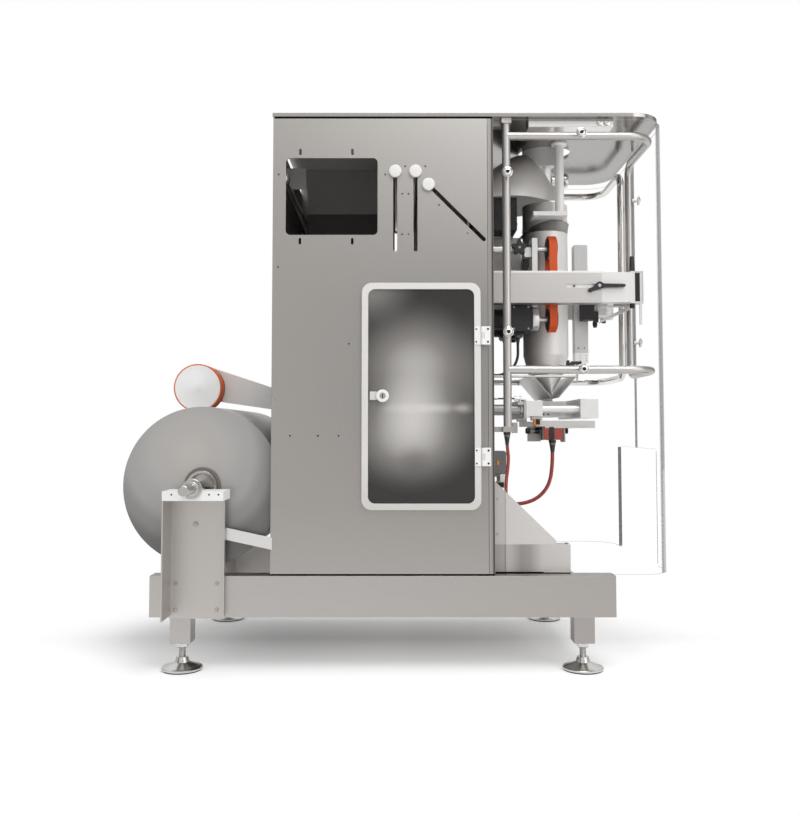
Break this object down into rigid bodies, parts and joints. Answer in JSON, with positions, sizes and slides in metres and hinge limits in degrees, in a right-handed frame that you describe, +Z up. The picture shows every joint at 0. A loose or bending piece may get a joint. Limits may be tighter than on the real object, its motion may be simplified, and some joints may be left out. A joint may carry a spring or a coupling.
{
  "type": "vertical form fill seal packaging machine",
  "caption": "Free-standing bag packaging machine: film roll on an unwinder, sheet steel cabinet with glazed door, forming tube with pull belts and seal jaws behind clear guard doors.",
  "frame": {"origin": "centre of the machine's bounding box, at floor level", "axes": "+X from the film roll to the front guard doors, +Y from the operator's side to the far side, +Z up"},
  "size_m": [1.63, 1.164, 1.665],
  "materials": {
    "brushed_panel": "fine brushed",
    "frame_steel": "brushed",
    "foot_steel": "satin",
    "polished_tube": "polished",
    "machined": "bead blasted",
    "white_block": "matt",
    "pale_frame": "satin",
    "frosted_glass": "frosted",
    "clear_pane": "clear",
    "film": "satin",
    "belt_rubber": "matt",
    "tyre_rubber": "matt",
    "cable_red": "satin",
    "cable_black": "satin",
    "black_plastic": "matt",
    "heater_red": "satin",
    "dark_steel": "satin",
    "knob_white": "gloss"
  },
  "bodies": {
    "machine": {"arm_bracket": "frame_steel", "base_cross_beams": "frame_steel", "base_legs": "frame_steel", "base_rails": "frame_steel", "bearing_blocks": "white_block", "belt_drives": "dark_steel", "belt_pulleys": "machined", "cabinet_far_panel": "brushed_panel", "cabinet_floor": "brushed_panel", "cabinet_front_panel": "brushed_panel", "cabinet_near_panel": "brushed_panel", "cabinet_rear_panels": "brushed_panel", "cabinet_top": "brushed_panel", "cable_fittings": "black_plastic", "carrier_beams": "polished_tube", "carrier_slides": "machined", "door_hinges": "frame_steel", "film_below_tube": "film", "film_deflectors": "brushed_panel", "forming_collar": "polished_tube", "forming_shoulder": "brushed_panel", "forming_tube": "polished_tube", "front_base_box": "brushed_panel", "guard_brackets": "frame_steel", "guard_switch_cable": "cable_red", "guide_roller": "polished_tube", "heater_block": "heater_red", "heater_cable": "cable_red", "jaw_guide_block": "machined", "jaw_side_bars": "frame_steel", "levelling_feet": "foot_steel", "motor_cable": "cable_black", "pull_belts": "belt_rubber", "rear_jaw": "machined", "seal_cross_bar": "machined", "shoulder_bracket": "dark_steel", "tube_hangers": "white_block", "unwind_posts": "brushed_panel"},
    "cabinet_door": {"cabinet_door": "pale_frame", "cabinet_door_glass": "frosted_glass"},
    "door_lock": {"door_lock": "polished_tube"},
    "near_guard": {"guard_frame_near": "polished_tube", "guard_pane_near": "clear_pane"},
    "far_guard": {"guard_frame_far": "polished_tube", "guard_pane_far": "clear_pane"},
    "adjuster_1": {"film_adjuster_1": "knob_white"},
    "adjuster_2": {"film_adjuster_2": "knob_white"},
    "adjuster_3": {"film_adjuster_3": "knob_white"},
    "reel": {"reel_shaft": "polished_tube", "film_roll": "film"},
    "drive_arm": {"drive_arm": "machined"},
    "drive_wheel": {"drive_wheel_hub": "machined", "drive_wheel_tyre": "tyre_rubber"},
    "front_jaw": {"front_crossbar": "machined", "front_jaw": "machined"},
    "seal_bar": {"vertical_seal_bar": "dark_steel"},
    "clamping_lever": {"clamping_lever": "black_plastic"},
    "near_belt_knob": {"belt_knob_near": "black_plastic"},
    "far_belt_knob": {"belt_knob_far": "black_plastic"}
  },
  "joints": [
    {"name": "cabinet_door_hinge", "type": "hinge", "parent": "machine", "child": "cabinet_door", "pos_m": [0.2553, -0.3885, 0.8065], "axis": [0, 0, 1], "range_deg": [0, 90]},
    {"name": "door_lock_turn", "type": "hinge", "parent": "cabinet_door", "child": "door_lock", "pos_m": [-0.041, -0.385, 0.807], "axis": [0, 1, 0], "range_deg": [0, 90]},
    {"name": "near_guard_hinge", "type": "hinge", "parent": "machine", "child": "near_guard", "pos_m": [0.333, -0.3475, 1.2], "axis": [0, 0, -1], "range_deg": [0, 90]},
    {"name": "far_guard_hinge", "type": "hinge", "parent": "machine", "child": "far_guard", "pos_m": [0.333, 0.3475, 1.2], "axis": [0, 0, 1], "range_deg": [0, 90]},
    {"name": "adjuster_1_slide", "type": "slide", "parent": "machine", "child": "adjuster_1", "axis": [0, 0, -1], "range_m": [0, 0.236]},
    {"name": "adjuster_2_slide", "type": "slide", "parent": "machine", "child": "adjuster_2", "axis": [0, 0, -1], "range_m": [0, 0.236]},
    {"name": "adjuster_3_slide", "type": "slide", "parent": "machine", "child": "adjuster_3", "axis": [0.7071, 0, -0.7071], "range_m": [0, 0.234]},
    {"name": "reel_turn", "type": "hinge", "parent": "machine", "child": "reel", "pos_m": [-0.5785, 0, 0.54], "axis": [0, 1, 0], "continuous": true},
    {"name": "drive_arm_pivot", "type": "hinge", "parent": "machine", "child": "drive_arm", "pos_m": [-0.29, -0.007, 0.781], "axis": [0, 1, 0], "range_deg": [0, 25]},
    {"name": "drive_wheel_turn", "type": "hinge", "parent": "drive_arm", "child": "drive_wheel", "pos_m": [-0.6585, -0.054, 0.8456], "axis": [0, 1, 0], "continuous": true},
    {"name": "front_jaw_slide", "type": "slide", "parent": "machine", "child": "front_jaw", "axis": [1, 0, 0], "range_m": [0, 0.09]},
    {"name": "seal_bar_slide", "type": "slide", "parent": "machine", "child": "seal_bar", "axis": [-1, 0, 0], "range_m": [0, 0.014]},
    {"name": "clamping_lever_turn", "type": "hinge", "parent": "machine", "child": "clamping_lever", "pos_m": [0.641, -0.221, 1.163], "axis": [0, -1, 0], "range_deg": [0, 90]},
    {"name": "near_belt_knob_turn", "type": "hinge", "parent": "machine", "child": "near_belt_knob", "pos_m": [0.399, -0.146, 1.2995], "axis": [0, 1, 0], "continuous": true},
    {"name": "far_belt_knob_turn", "type": "hinge", "parent": "machine", "child": "far_belt_knob", "pos_m": [0.399, 0.146, 1.2995], "axis": [0, 1, 0], "continuous": true}
  ]
}
